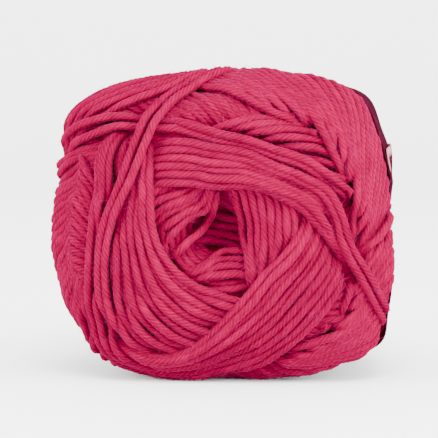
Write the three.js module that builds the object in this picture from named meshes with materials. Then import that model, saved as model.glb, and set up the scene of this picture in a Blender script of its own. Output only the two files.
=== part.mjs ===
// Wound ball of eight-ply cotton yarn with a plain paper band round its girth.
// Millimetres, +Z up. The ball lies on its side: its axis runs along Y and the feed hole faces -Y.
// The origin is on the floor under the ball's centre, at the flat spot on which it rests.
import * as THREE from "three";

// Driving dimensions
const halfWidth = 40; // girth, along X
const halfHeight = 35.8; // girth, along Z
const halfLength = 34; // along the axis, Y
const girthPower = 2.68; // 2 is an ellipse, more is squarer
const lengthPower = 3.2;
const cornerRise = 0.029; // share by which the four rounded corners of the girth stand out
const cornerBearing = 53; // degrees
const centreHeight = 33.8; // ball centre above the floor

const bandHalfWidth = 17;
const bandThickness = 1;
const bandFit = 0.965; // taut band's size as a share of the girth
const bandTurn = 2.6; // its right side leads forward by this much
const bandTilt = 1; // its top leans back by this much
const gap = 0.3; // between band and yarn
const lipWidth = 0.9; // over which the yarn rises beside the band

const bearings = 92; // facets round the axis
const faceRings = { front: 20, back: 11 };
const ridgeDepth = 0.8; // of the grooves between neighbouring twists

// Swells of the yarn and of the band round the girth: where, over how many degrees, by how much
const yarnSwells = [
  { bearing: 2, width: 14, rise: 0.5 },
  { bearing: 28, width: 8, rise: -0.3 },
  { bearing: 45, width: 10, rise: 1.6 },
  { bearing: 66, width: 6, rise: -0.7 },
  { bearing: 88, width: 20, rise: 2.3 },
  { bearing: 120, width: 10, rise: 0.2 },
  { bearing: 141, width: 7, rise: 0.7 },
  { bearing: 161, width: 8, rise: -2.1 },
  { bearing: 186, width: 8, rise: 0.9 },
  { bearing: 212, width: 12, rise: -0.6 },
  { bearing: 240, width: 6, rise: -0.5 },
  { bearing: 262, width: 14, rise: 0.5 },
  { bearing: 285, width: 8, rise: 0.4 },
  { bearing: 324, width: 9, rise: 2.2 },
  { bearing: 340, width: 8, rise: 0.9 },
];
const bandSwells = [
  { bearing: 0, width: 12, rise: -0.9 },
  { bearing: 24, width: 9, rise: 1.5 },
  { bearing: 42, width: 9, rise: 2.9 },
  { bearing: 66, width: 6, rise: -0.4 },
  { bearing: 84, width: 18, rise: 1.4 },
  { bearing: 125, width: 12, rise: -0.8 },
  { bearing: 163, width: 12, rise: -2.2 },
  { bearing: 215, width: 16, rise: -1.4 },
  { bearing: 242, width: 12, rise: -0.8 },
  { bearing: 271, width: 14, rise: 0.35 },
  { bearing: 300, width: 12, rise: -0.8 },
  { bearing: 325, width: 6, rise: 2 },
];

// Feed hole: depth of its wall below the end of the ball, from the rim inwards
const pits = {
  front: [
    { radius: 12.6, depth: 0.75 },
    { radius: 10.2, depth: 1.9 },
    { radius: 8, depth: 3.6 },
    { radius: 6.2, depth: 5.6 },
    { radius: 5, depth: 8 },
    { radius: 4.5, depth: 11 },
    { radius: 4.1, depth: 14.5 },
    { radius: 2.6, depth: 17 },
  ],
  back: [
    { radius: 11.5, depth: 0.8 },
    { radius: 8.6, depth: 2.6 },
    { radius: 6.2, depth: 5 },
    { radius: 4.9, depth: 8 },
    { radius: 4.3, depth: 12 },
    { radius: 2.6, depth: 14 },
  ],
};

// Main twists. Each is a flat bundle of turns; a row gives its edge near the hole and its far edge as
// [bearing round the axis, swing away from the end of the axis] in degrees, and its lift in mm.
const frontTwists = [
  { name: "inlet", ridges: 2, rows: [
    { near: [180, 16], far: [150, 27], lift: 0.1 },
    { near: [152, 14], far: [127, 22], lift: 0.2 },
    { near: [122, 12], far: [104, 18.5], lift: 0 },
  ] },
  { name: "sweep", ridges: 3, rows: [
    { near: [192, 16], far: [186, 22], lift: 0 },
    { near: [215, 13], far: [214, 22], lift: 0.3 },
    { near: [240, 12], far: [240, 27], lift: 0.4 },
    { near: [268, 12], far: [262, 31], lift: 0.4 },
    { near: [296, 12], far: [284, 25], lift: 0.1 },
  ] },
  { name: "fan", ridges: 3, rows: [
    { near: [70, 16], far: [36, 26], lift: 0.1 },
    { near: [45, 12], far: [20, 25.5], lift: 0.5 },
    { near: [0, 10], far: [2, 24.5], lift: 0.6 },
    { near: [335, 11], far: [340, 23], lift: 0.5 },
    { near: [306, 15], far: [318, 22], lift: 0.2 },
  ] },
  { name: "right shoulder", ridges: 3, rows: [
    { near: [92, 46], far: [92, 61], lift: 0.1 },
    { near: [70, 44], far: [72, 62], lift: 0.5 },
    { near: [48, 46], far: [48, 63], lift: 0.6 },
    { near: [28, 46], far: [28, 62], lift: 0.6 },
    { near: [12, 46], far: [10, 60], lift: 0.5 },
    { near: [355, 46], far: [352, 58], lift: 0.1 },
  ] },
  { name: "left shoulder", ridges: 2, rows: [
    { near: [162, 50], far: [164, 60], lift: 0.2 },
    { near: [148, 49], far: [148, 61], lift: 0.6 },
    { near: [132, 45], far: [134, 60], lift: 0.6 },
    { near: [118, 46], far: [118, 58], lift: 0.2 },
  ] },
  { name: "lower fan", ridges: 2, rows: [
    { near: [292, 47], far: [286, 58], lift: 0.1 },
    { near: [312, 45], far: [308, 60], lift: 0.4 },
    { near: [330, 45], far: [330, 62], lift: 0.5 },
    { near: [346, 48], far: [348, 61], lift: 0.2 },
  ] },
  { name: "left", ridges: 3, rows: [
    { near: [128, 37], far: [140, 47], lift: 0.4 },
    { near: [136, 34], far: [150, 45], lift: 1.3 },
    { near: [149, 28], far: [158, 43], lift: 1.5 },
    { near: [168, 23.5], far: [172, 43], lift: 1.6 },
    { near: [184, 21.5], far: [184, 43.5], lift: 1.5 },
    { near: [199, 20.5], far: [196, 46], lift: 1.2 },
    { near: [214, 21.5], far: [206, 50], lift: 0.9 },
    { near: [230, 26], far: [216, 54.5], lift: 0.6 },
    { near: [245, 34], far: [228, 59], lift: 0.3 },
  ] },
  { name: "lower", ridges: 3, rows: [
    { near: [232, 51], far: [226, 59], lift: 0.5 },
    { near: [244, 47.5], far: [241, 60], lift: 1 },
    { near: [257, 42], far: [255, 56], lift: 1.3 },
    { near: [271, 34], far: [270, 51], lift: 1.5 },
    { near: [285, 27.5], far: [286, 47.5], lift: 1.5 },
    { near: [303, 23.5], far: [303, 43.5], lift: 1.5 },
    { near: [320, 22.5], far: [320, 41], lift: 1.4 },
    { near: [340, 24], far: [336, 41.5], lift: 1 },
    { near: [0, 27], far: [350, 43], lift: 0.5 },
  ] },
  { name: "crown", ridges: 3, rows: [
    { near: [142, 27], far: [122, 43], lift: 0.5 },
    { near: [122, 21.5], far: [104, 38], lift: 1.1 },
    { near: [92, 18], far: [90, 35.5], lift: 1.5 },
    { near: [70, 19.5], far: [71, 34], lift: 1.6 },
    { near: [47, 21.5], far: [53, 34], lift: 1.6 },
    { near: [31, 25], far: [37, 38.5], lift: 1.6 },
    { near: [16, 29.5], far: [24, 42], lift: 1.5 },
    { near: [4, 34], far: [12, 45.5], lift: 1.4 },
    { near: [354, 41], far: [2, 50], lift: 1.1 },
    { near: [342, 50], far: [350, 56], lift: 0.6 },
  ] },
  { name: "over strands", ridges: 1, rows: [
    { near: [93, 55], far: [96, 61], lift: 0.9 },
    { near: [106, 48], far: [109, 54], lift: 1.5 },
    { near: [118, 41.5], far: [123, 47], lift: 2.2 },
    { near: [132, 35.5], far: [138, 41], lift: 2.4 },
    { near: [147, 33], far: [150, 39], lift: 2.3 },
    { near: [160, 34], far: [162, 40], lift: 2 },
    { near: [178, 36], far: [178, 42], lift: 1.7 },
  ] },
];
const backTwists = [
  { name: "back upper", ridges: 3, rows: [
    { near: [20, 30], far: [8, 46], lift: 0.3 },
    { near: [50, 22], far: [45, 40], lift: 1.2 },
    { near: [85, 20], far: [85, 36], lift: 1.4 },
    { near: [120, 24], far: [125, 40], lift: 1.2 },
    { near: [148, 34], far: [158, 48], lift: 0.3 },
  ] },
  { name: "back left", ridges: 3, rows: [
    { near: [110, 32], far: [98, 48], lift: 0.3 },
    { near: [145, 22], far: [140, 40], lift: 1.1 },
    { near: [180, 20], far: [180, 37], lift: 1.4 },
    { near: [215, 23], far: [220, 40], lift: 1.1 },
    { near: [243, 34], far: [253, 48], lift: 0.3 },
  ] },
  { name: "back lower", ridges: 3, rows: [
    { near: [205, 32], far: [193, 48], lift: 0.3 },
    { near: [240, 23], far: [235, 40], lift: 1.2 },
    { near: [275, 20], far: [275, 37], lift: 1.4 },
    { near: [310, 23], far: [315, 40], lift: 1.2 },
    { near: [338, 34], far: [348, 48], lift: 0.3 },
  ] },
  { name: "back right", ridges: 3, rows: [
    { near: [300, 32], far: [288, 48], lift: 0.3 },
    { near: [335, 23], far: [330, 40], lift: 1.1 },
    { near: [5, 20], far: [5, 36], lift: 1.4 },
    { near: [38, 26], far: [44, 42], lift: 0.3 },
  ] },
];

const radians = THREE.MathUtils.degToRad;
const degrees = THREE.MathUtils.radToDeg;

// Signed difference between two bearings, -180 to 180
const bearingStep = (a, b) => ((((a - b + 180) % 360) + 360) % 360) - 180;

const swellAt = (swells, bearing) =>
  swells.reduce(
    (sum, { bearing: at, width, rise }) => sum + rise * Math.exp(-((bearingStep(bearing, at) / width) ** 2)),
    0,
  );

// Girth outline: a squarish ellipse with its corners drawn out a little
function girthRadius(bearing) {
  const angle = radians(bearing);
  const across = Math.abs(Math.cos(angle) / halfWidth) ** girthPower;
  const up = Math.abs(Math.sin(angle) / halfHeight) ** girthPower;
  const corner = 1 + cornerRise * Math.cos(4 * radians(bearing - cornerBearing));
  return (across + up) ** (-1 / girthPower) * corner;
}
const yarnRadius = (bearing) => girthRadius(bearing) + swellAt(yarnSwells, bearing);
const bandRadius = (bearing) => bandFit * girthRadius(bearing) + swellAt(bandSwells, bearing);

// Where the middle of the band lies along the axis
const bandMiddle = (bearing) =>
  -bandTurn * Math.cos(radians(bearing)) + bandTilt * Math.sin(radians(bearing));

// Share of the girth left at a distance y along the axis
const taper = (y) => Math.max(0, 1 - Math.abs(y / halfLength) ** lengthPower) ** (1 / lengthPower);

// Point of the smooth form: distance from the axis and place along it
function formPoint(bearing, swing) {
  const radius = yarnRadius(bearing);
  const slope = Math.abs(Math.tan(radians(swing)));
  const turn = Math.atan(((halfLength / radius) * slope) ** (lengthPower / 2));
  const side = swing > 90 ? 1 : -1;
  return {
    out: radius * Math.sin(turn) ** (2 / lengthPower),
    along: side * halfLength * Math.cos(turn) ** (2 / lengthPower),
  };
}

// Outward direction of the smooth form, as shares away from and along the axis
function formNormal(bearing, out, along) {
  const radius = yarnRadius(bearing);
  const away = (out / radius) ** (lengthPower - 1) / radius;
  const forward = (Math.sign(along) * Math.abs(along / halfLength) ** (lengthPower - 1)) / halfLength;
  const size = Math.hypot(away, forward);
  return { away: away / size, forward: forward / size };
}

// Flat map of an end of the ball, with the hole at its middle and swing as the radius
const onMap = ([bearing, swing]) =>
  new THREE.Vector2(swing * Math.cos(radians(bearing)), swing * Math.sin(radians(bearing)));

// Lift of one twist over a place on the map: zero outside it, a row of round ridges inside
function twistLift({ ridges, rows }, place) {
  for (let i = 1; i < rows.length; i++) {
    const [first, last] = [rows[i - 1], rows[i]].map((row) => {
      const near = onMap(row.near);
      const across = onMap(row.far).sub(near);
      return { across, side: across.cross(place.clone().sub(near)), near, lift: row.lift };
    });
    if (first.side * last.side > 0) continue;
    const along = first.side / (first.side - last.side);
    const near = first.near.clone().lerp(last.near, along);
    const across = first.across.clone().lerp(last.across, along);
    const share = place.clone().sub(near).dot(across) / across.lengthSq();
    if (share < 0 || share > 1) continue;
    const lift = THREE.MathUtils.lerp(first.lift, last.lift, along);
    const edge = Math.min(1, 7 * Math.min(share, 1 - share));
    return lift * edge + ridgeDepth * (Math.abs(Math.sin(Math.PI * ridges * share)) - 1);
  }
  return -ridgeDepth;
}
const liftAt = (twists, bearing, swing) => {
  const place = onMap([bearing, swing]);
  return Math.max(...twists.map((twist) => twistLift(twist, place)));
};

// Closed mesh from rings of points, each ring joined to the next; the ends close on a middle point
// or, for a hoop, the last ring joins the first
function meshFromRings(rings, capped) {
  const count = rings[0].length;
  const points = rings.flat();
  const faces = [];
  const joins = capped ? rings.length - 1 : rings.length;
  for (let i = 0; i < joins; i++) {
    const here = i * count;
    const next = ((i + 1) % rings.length) * count;
    for (let k = 0; k < count; k++) {
      const m = (k + 1) % count;
      faces.push(here + k, next + k, here + m, here + m, next + k, next + m);
    }
  }
  if (capped) {
    const middle = (ring) =>
      ring.reduce((sum, point) => sum.add(point), new THREE.Vector3()).divideScalar(count);
    const first = points.push(middle(rings[0])) - 1;
    const last = points.push(middle(rings.at(-1))) - 1;
    const lastRing = (rings.length - 1) * count;
    for (let k = 0; k < count; k++) {
      const m = (k + 1) % count;
      faces.push(first, k, m, last, lastRing + m, lastRing + k);
    }
  }
  const geometry = new THREE.BufferGeometry().setFromPoints(points);
  geometry.setIndex(faces);
  geometry.computeVertexNormals();
  return geometry;
}

// A ring of points round the axis, flattened where it meets the floor
function ring(place, floor = 0) {
  return Array.from({ length: bearings }, (_, k) => {
    const bearing = ((k + 0.5) * 360) / bearings;
    const { out, along } = place(bearing);
    const x = out * Math.cos(radians(bearing));
    const z = centreHeight + out * Math.sin(radians(bearing));
    return new THREE.Vector3(x, along, Math.max(z, floor));
  });
}

// Ring of the yarn's surface at a swing that may change with the bearing
function yarnRing(swingAt, twists) {
  return ring((bearing) => {
    const swing = swingAt(bearing);
    const { out, along } = formPoint(bearing, swing);
    const { away, forward } = formNormal(bearing, out, along);
    const lift = liftAt(twists, bearing, swing > 90 ? 180 - swing : swing);
    return { out: out + lift * away, along: along + lift * forward };
  });
}

// The rings of one end of the ball, from the bottom of its hole out to the band; side is -1 in front
function endRings(side, pit, twists, count) {
  const swingOf = (out, along) => degrees(Math.atan2(out, Math.abs(along)));
  const pitRings = pit.toReversed().map(({ radius, depth }) =>
    ring((bearing) => {
      const swing = swingOf(radius, halfLength);
      const lift = liftAt(twists, bearing, swing) * THREE.MathUtils.smoothstep(radius, 4.5, 10);
      return { out: radius, along: side * (halfLength - depth + lift) };
    }),
  );
  const rim = swingOf(pit[0].radius, halfLength - pit[0].depth);
  const edgeSwing = (bearing) => {
    const along = bandMiddle(bearing) + side * (bandHalfWidth + gap + lipWidth);
    return swingOf(yarnRadius(bearing) * taper(along), along);
  };
  const faceRows = Array.from({ length: count }, (_, i) =>
    yarnRing((bearing) => {
      const swing = rim + ((edgeSwing(bearing) - rim) * (i + 1)) / count;
      return side < 0 ? swing : 180 - swing;
    }, twists),
  );
  return [...pitRings, ...faceRows];
}

// The yarn under the band is a plain drum, a gap inside the paper
function drumRing(share) {
  const floor = bandThickness + gap;
  return ring(
    (bearing) => ({
      out: bandRadius(bearing) - bandThickness - gap,
      along: bandMiddle(bearing) + share * (bandHalfWidth + gap),
    }),
    floor,
  );
}

function woundBall() {
  const front = endRings(-1, pits.front, frontTwists, faceRings.front);
  const back = endRings(1, pits.back, backTwists, faceRings.back);
  return meshFromRings([...front, drumRing(-1), drumRing(0), drumRing(1), ...back.toReversed()], true);
}

function paperBand() {
  const hoop = (share, inset) =>
    ring(
      (bearing) => ({
        out: bandRadius(bearing) - inset,
        along: bandMiddle(bearing) + share * bandHalfWidth,
      }),
      inset,
    );
  return meshFromRings([hoop(-1, 0), hoop(1, 0), hoop(1, bandThickness), hoop(-1, bandThickness)], false);
}

const cotton = new THREE.MeshStandardMaterial({ color: 0xd7326a, roughness: 0.85, metalness: 0 });
const paper = new THREE.MeshStandardMaterial({ color: 0x4a1420, roughness: 0.5, metalness: 0 });

const ball = new THREE.Mesh(woundBall(), cotton);
ball.name = "yarn_ball";
const band = new THREE.Mesh(paperBand(), paper);
band.name = "ball_band";

const yarn = new THREE.Group();
yarn.add(ball, band);

export default yarn;
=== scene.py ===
import bpy, bmesh, math
import numpy as np
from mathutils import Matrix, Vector


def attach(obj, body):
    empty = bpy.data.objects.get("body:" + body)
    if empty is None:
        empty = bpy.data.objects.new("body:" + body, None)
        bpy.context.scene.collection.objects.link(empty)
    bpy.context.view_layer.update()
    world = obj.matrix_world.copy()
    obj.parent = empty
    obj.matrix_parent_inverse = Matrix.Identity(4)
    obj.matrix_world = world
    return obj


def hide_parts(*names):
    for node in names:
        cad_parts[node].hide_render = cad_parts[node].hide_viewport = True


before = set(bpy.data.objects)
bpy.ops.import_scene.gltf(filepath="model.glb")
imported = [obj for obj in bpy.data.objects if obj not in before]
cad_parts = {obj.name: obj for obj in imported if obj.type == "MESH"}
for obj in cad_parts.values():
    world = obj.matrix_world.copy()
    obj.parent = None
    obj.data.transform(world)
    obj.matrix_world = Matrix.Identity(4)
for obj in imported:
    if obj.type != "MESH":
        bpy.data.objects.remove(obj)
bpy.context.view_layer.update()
rng = np.random.default_rng(8)
mm = 0.001

# The wound form, in millimetres. A place on an end of the ball is a bearing round the axis and a swing
# away from its end, both in degrees; on the flat map of that end the swing is the distance from the middle.
ball = dict(
    halfWidth=40.0, halfHeight=35.8, halfLength=34.0, girthPower=2.68, lengthPower=3.2,
    cornerRise=0.029, cornerBearing=53.0, centreHeight=33.8,
    swells=[(2, 14, 0.5), (28, 8, -0.3), (45, 10, 1.6), (66, 6, -0.7), (88, 20, 2.3), (120, 10, 0.2),
            (141, 7, 0.7), (161, 8, -2.1), (186, 8, 0.9), (212, 12, -0.6), (240, 6, -0.5), (262, 14, 0.5),
            (285, 8, 0.4), (324, 9, 2.2), (340, 8, 0.9)],  # bearing, width, rise
    pit={-1: [(0, 10.5), (2.6, 10.2), (4.1, 9.2), (4.8, 7.6), (6.2, 5.4), (8, 3.5), (10.2, 1.9),
              (12.6, 0.75), (16, 0)],  # radius, depth
         1: [(0, 16), (2.6, 14), (4.3, 12), (4.9, 8), (6.2, 5), (8.6, 2.6), (11.5, 0.8), (15, 0)]},
)
# tuck is how far the strands run on under the band; hug is the share of its half width from which it
# closes in on the yarn, and over how much of it
band = dict(
    halfWidth=17.0, fit=0.965, turn=2.6, tilt=1.0, thickness=0.3, tuck=2.0, hug=(0.3, 0.7), slack=0.35,
    swells=[(0, 12, -0.9), (24, 9, 1.5), (42, 9, 2.9), (66, 6, -0.4), (84, 18, 1.4), (125, 12, -0.8),
            (163, 12, -2.2), (215, 16, -1.4), (242, 12, -0.8), (271, 14, 0.35), (300, 12, -0.8),
            (325, 6, 2.0)],
)
strand = dict(diameter=1.98, step=0.8, plies=6, lay=7.2, grooveDepth=0.2)


def swellAt(swells, bearing):
    total = np.zeros_like(bearing)
    for at, width, rise in swells:
        total += rise * np.exp(-(((bearing - at + 180) % 360 - 180) / width) ** 2)
    return total


def girthRadius(bearing):
    angle = np.radians(bearing)
    across = (np.abs(np.cos(angle)) / ball["halfWidth"]) ** ball["girthPower"]
    up = (np.abs(np.sin(angle)) / ball["halfHeight"]) ** ball["girthPower"]
    corner = 1 + ball["cornerRise"] * np.cos(4 * np.radians(bearing - ball["cornerBearing"]))
    return (across + up) ** (-1 / ball["girthPower"]) * corner


def yarnRadius(bearing):
    return girthRadius(bearing) + swellAt(ball["swells"], bearing)


def bandRadius(bearing):
    return band["fit"] * girthRadius(bearing) + swellAt(band["swells"], bearing)


def paperRadius(bearing, share):
    # the band hugs the yarn at its edges, share 1, and stands at its full girth in the middle, share 0
    slack = np.maximum(bandRadius(bearing) - band["fit"] * yarnRadius(bearing) - band["slack"], 0)
    ease = np.clip((np.abs(share) - band["hug"][0]) / band["hug"][1], 0, 1)
    return bandRadius(bearing) - slack * ease * ease * (3 - 2 * ease)


def bandMiddle(bearing):
    return -band["turn"] * np.cos(np.radians(bearing)) + band["tilt"] * np.sin(np.radians(bearing))


def formPoint(place, side):
    # smooth wound form with its feed holes; side is -1 for the front end and 1 for the back
    swing = np.clip(np.hypot(place[..., 0], place[..., 1]), 1e-4, 89.9)
    bearing = np.degrees(np.arctan2(place[..., 1], place[..., 0]))
    radius = yarnRadius(bearing)
    power, length = ball["lengthPower"], ball["halfLength"]
    turn = np.arctan((length / radius * np.tan(np.radians(swing))) ** (power / 2))
    out = radius * np.sin(turn) ** (2 / power)
    along = length * np.cos(turn) ** (2 / power)
    pit = np.array(ball["pit"][side])
    along = along - np.interp(out, pit[:, 0], pit[:, 1])
    angle = np.radians(bearing)
    return np.stack([out * np.cos(angle), side * along, ball["centreHeight"] + out * np.sin(angle)], -1)


def formNormal(place, side):
    eps = 0.4
    right = formPoint(place + [eps, 0], side) - formPoint(place - [eps, 0], side)
    up = formPoint(place + [0, eps], side) - formPoint(place - [0, eps], side)
    normal = np.cross(right, up) * -side
    return normal / np.linalg.norm(normal, axis=-1, keepdims=True)


def bandDistance(point):
    # how far a point lies in front of the band's edge, or behind it at the back
    bearing = np.degrees(np.arctan2(point[..., 2] - ball["centreHeight"], point[..., 0]))
    return np.abs(point[..., 1] - bandMiddle(bearing)) - band["halfWidth"], bearing


# Bundles of turns on the front end, from the lowest up. A row crosses the bundle: the place of its edge
# near the hole, the place of its far edge, and how high in the pile it lies there. The strands of a turning
# bundle are each turned a little further round the ball than the last.
frontBundles = [
    dict(name="leftShoulder", strands=21, turning=True, rows=[
        (238, 80, 166, 80, 2.4), (229, 70, 160, 72, 2.4), (219, 61, 156, 64, 2.5),
        (208, 54, 151, 57, 2.6), (198, 47, 145, 50, 2.6), (190, 41, 137, 45, 2.5)]),
    dict(name="leftCross", strands=15, turning=True, rows=[
        (206, 54, 150, 54, 2.7), (208, 50.5, 152, 50.5, 2.9), (213, 46.5, 157, 46.5, 3),
        (219, 42.5, 163, 42.5, 3), (225, 39.5, 169, 39.5, 2.8)]),
    dict(name="lowerSkirt", strands=31, turning=True, rows=[
        (220, 36, 343, 36, 1.4), (224, 42, 347, 42, 1.5), (229, 46.5, 352, 46.5, 1.5),
        (236, 51.5, 359, 51.5, 1.5), (244, 56.5, 7, 56.5, 1.5), (253, 61.5, 16, 61.5, 1.5),
        (265, 67, 28, 67, 1.4), (279, 74, 42, 74, 1.4)]),
    dict(name="innerShoulder", strands=7, turning=True, rows=[
        (105, 35, 33, 33, 1.6), (96, 36, 30, 36, 1.7), (84, 38, 27, 39, 1.8), (72, 42, 24, 42, 1.8),
        (61, 46, 21, 45, 1.8), (54, 52, 18, 49, 1.7), (50, 58, 16, 54, 1.6)]),
    dict(name="inlet", strands=5, rows=[
        (203, 20, 184, 34, 1.4), (186, 16, 170, 30, 1.5), (167, 12.8, 156, 26, 1.6),
        (147, 10.6, 143, 22.5, 1.6), (129, 9.2, 130, 20, 1.6), (113, 10.2, 119, 19.5, 1.6),
        (99, 14, 108, 21, 1.5), (91, 19, 99, 24, 1.4)]),
    dict(name="sweep", strands=4, rows=[
        (340, 10, 308, 22, 2), (330, 9.2, 302, 19, 2), (308, 7.6, 290, 16.5, 2), (280, 7.2, 272, 16.8, 2),
        (258, 9, 256, 17.3, 2), (246, 12.6, 246, 18.5, 1.9), (236, 15.5, 236, 20, 1.8),
        (226, 19, 228, 23, 1.6)]),
    dict(name="fan", strands=8, rows=[
        (86, 20, 50, 36, 2.2), (77, 14.8, 39, 31, 2.3), (60, 11, 27, 29, 2.4), (38, 9, 17, 28, 2.4),
        (14, 8, 8, 27.5, 2.4), (352, 7.9, 360, 27.2, 2.4), (334, 9.4, 347, 26.4, 2.4),
        (317, 12.6, 331, 25.6, 2.4), (305, 17.5, 317, 26.5, 2.4), (297, 23, 305, 30, 2.4)]),
    dict(name="deepTurns", strands=4, rows=[
        (204, 10.8, 136, 10.8, 1), (220, 7.8, 120, 7.8, 1), (260, 6, 80, 6, 1), (300, 7.8, 40, 7.8, 1),
        (316, 10.8, 24, 10.8, 1)]),
    dict(name="outerLoop", strands=3, rows=[
        (130, 46, 135, 49.6, 5.8), (137, 44.5, 142, 48.4, 6), (146, 42.3, 150, 46.6, 6.2),
        (156, 39.5, 159, 44.6, 6.5), (171, 39, 172, 44, 7), (184, 38.8, 184, 44.4, 7),
        (197, 40.6, 196, 46.6, 7), (208, 43.3, 205, 50, 7), (219, 47.4, 213, 54.4, 7),
        (231, 52, 226, 59.6, 7), (243, 54.5, 240, 62, 7), (256, 52, 255, 60, 7), (270, 46.5, 270, 54, 7),
        (286, 42.5, 286, 49.5, 7), (303, 38.5, 303, 45.5, 7), (320, 36.5, 320, 43, 7),
        (338, 37.5, 336, 43.2, 6), (352, 39, 349, 44.6, 5), (4, 40, 0, 47, 4.5)]),
    dict(name="left", strands=7, rows=[
        (124, 41.5, 131, 47, 5.6), (129, 37, 138, 45, 5.8), (137, 31.4, 146, 42.3, 6),
        (150, 26.6, 156, 39.5, 6.4), (168, 23.3, 171, 39, 6.6), (184, 21.5, 184, 38.8, 6.6),
        (197, 20.3, 196, 40.6, 6.6), (210, 19.5, 206, 43.3, 6.4), (223, 18.8, 213, 46.6, 5.6),
        (240, 18.3, 221, 49.6, 5), (257, 18.8, 230, 52, 4.6), (275, 20.4, 239, 54.6, 4.3),
        (289, 22.8, 248, 57, 4), (303, 27, 258, 58, 3.6)]),
    dict(name="leftUnder", strands=6, rise=0.8, rows=[
        (184, 22.6, 184, 37.6, 3.6), (197, 21.6, 196, 39.2, 3.6), (210, 20.9, 206, 41.8, 3.6),
        (223, 20.6, 214, 44.6, 3.6), (239, 20.4, 222, 47.2, 3.6), (255, 21, 231, 49.6, 3.6),
        (272, 22.4, 241, 52, 3.6), (286, 24.8, 250, 54.6, 3.5), (299, 29, 260, 56, 3.4)]),
    dict(name="lower", strands=7, rows=[
        (222, 53, 216, 60, 4.6), (234, 50.5, 231, 55.5, 4.8), (245, 47.5, 243, 54.5, 6),
        (256, 41.5, 256, 52, 6.5), (268, 33, 270, 46.5, 6.7), (282, 26, 285, 42.5, 6.7),
        (300, 22, 303, 38.5, 6.7), (318, 20.5, 320, 36.5, 6.7), (338, 22.5, 338, 37.5, 5.6),
        (0, 27, 352, 39, 4.8), (12, 30, 6, 41, 4.5), (24, 33, 18, 43, 4.3)]),
    dict(name="crown", strands=4, rows=[
        (172, 36, 161.5, 42.6, 2.6), (156, 31, 146, 38.3, 2.8), (142, 26, 131, 34.3, 3.2),
        (122, 19.5, 112, 29.2, 6.6), (104, 16.6, 99.5, 26.4, 7.2), (88, 15.8, 88, 25.5, 7.5),
        (68, 17.6, 69.5, 25.8, 7.5), (47, 20.5, 50, 27.2, 7.7), (31, 24, 33.8, 31, 7.8),
        (16, 29, 20, 35.8, 7.8), (3.4, 33.4, 6, 39, 7.6), (356.6, 36.6, 358, 40, 7.3),
        (350.2, 40.6, 351, 43, 7), (345, 45.4, 346, 47.6, 7)]),
    dict(name="crownEdge", strands=2, tail=0.9, rows=[
        (161.5, 42.6, 156, 46, 2.6), (146, 38.3, 141, 42, 2.8), (131, 34.3, 126, 38.5, 3.2),
        (112, 29.2, 108, 34, 6.6), (99.5, 26.4, 98, 31.4, 7.2), (88, 25.5, 88, 30.3, 7.6),
        (69.5, 25.8, 70, 30, 7.6), (50, 27.2, 51, 30.4, 7.8), (33.8, 31, 35, 34.6, 8),
        (20, 35.8, 22, 39.4, 8), (7, 37.6, 9, 41.6, 8), (357, 39, 359.6, 43, 8),
        (348.6, 41.8, 351.8, 45.8, 8), (341.6, 46.4, 345, 50.6, 7.9), (335.6, 52, 339.2, 56.6, 7.8),
        (331.4, 57.6, 335.4, 63, 7.7), (328.4, 64, 332.4, 70, 7.6), (325, 74, 329, 80, 7.6)]),
    dict(name="joiner", strands=1, rows=[
        (20, 80, 20, 82, 5), (13, 72, 13, 74, 5), (8.6, 65, 8.6, 66.6, 5), (4, 58.6, 4, 60, 5),
        (359.4, 53.4, 359.4, 54.8, 5), (354.4, 49, 354.4, 50.4, 5), (350.6, 46, 350.6, 47.4, 5),
        (346, 43.4, 346, 44.8, 4.8)]),
    dict(name="crownTop", strands=2, head=1.7, rows=[
        (162, 64, 154, 73, 2.1), (158, 60.3, 150, 69.3, 2.2), (151, 55, 146, 63, 3.6),
        (145, 50.5, 141, 57.6, 6.6), (138, 47.2, 134, 53.6, 7.3), (131, 44.4, 127, 49.6, 7.4),
        (124, 41, 120, 46, 7.4), (114, 37.2, 111, 41.6, 7.4), (102, 33, 100, 37, 7.5),
        (90, 30.8, 90, 34.6, 7.6), (71, 30.3, 71, 34, 7.6), (53, 31.2, 54, 35, 7.6),
        (40, 34.4, 41, 38, 6.6), (30, 37, 31, 40.6, 3.2), (20, 41, 22, 44.4, 1.2), (12, 46, 14, 49.4, 1)]),
    dict(name="upperLeft", strands=12, turning=True, rows=[
        (162, 63, 160, 88, 1), (151, 58.5, 150, 87, 2), (140, 54.5, 139, 86, 4.2), (129, 52, 128, 86, 5),
        (118, 52, 117, 87, 5), (108, 55, 107, 88, 4.8), (99, 61, 98, 89, 4.4), (91, 68, 90, 89, 4.2)]),
    dict(name="upperRight", strands=40, turning=True, tail=1.2, rows=[
        (124, 72, 334, 74, 4.2), (113, 63, 323, 68, 4.2), (104, 56.5, 314, 61, 4.2),
        (95, 51.5, 305, 56, 4.2), (86, 48, 296, 52.5, 4.2), (77, 45.5, 287, 49.5, 4),
        (69, 44.5, 279, 48, 3.8), (61, 44.5, 271, 48, 3.6), (54, 45.5, 264, 49, 3.4)]),
    dict(name="mouthTurn", strands=1, rows=[
        (93, 13.4, 93, 14.4, 1.9), (102, 10.4, 102, 11.4, 2.2), (120, 8, 120, 9, 3),
        (141, 7.4, 141, 8.4, 3), (163, 7.4, 163, 8.4, 3), (184, 9, 184, 10, 3), (195, 12, 195, 13, 3),
        (203, 15.2, 203, 16.2, 3), (208, 19, 208, 20, 2.4)]),
    dict(name="overTurns", strands=2, head=0.8, rows=[
        (84, 64, 88, 69, 8.4), (93, 55.5, 97, 61, 9), (106, 48.5, 110, 53, 9.2),
        (118, 42, 123, 46.6, 9.4), (132, 36, 138, 40.6, 9.6), (147, 33.5, 151, 38, 9.6),
        (160, 34, 162, 38.3, 9.6), (178, 36, 178, 40.4, 9.6), (200, 40, 199, 44, 9.6),
        (217, 44, 215, 48, 9), (232, 49, 229, 53, 3.8), (246, 54, 244, 57, 3.6)]),
]
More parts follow.
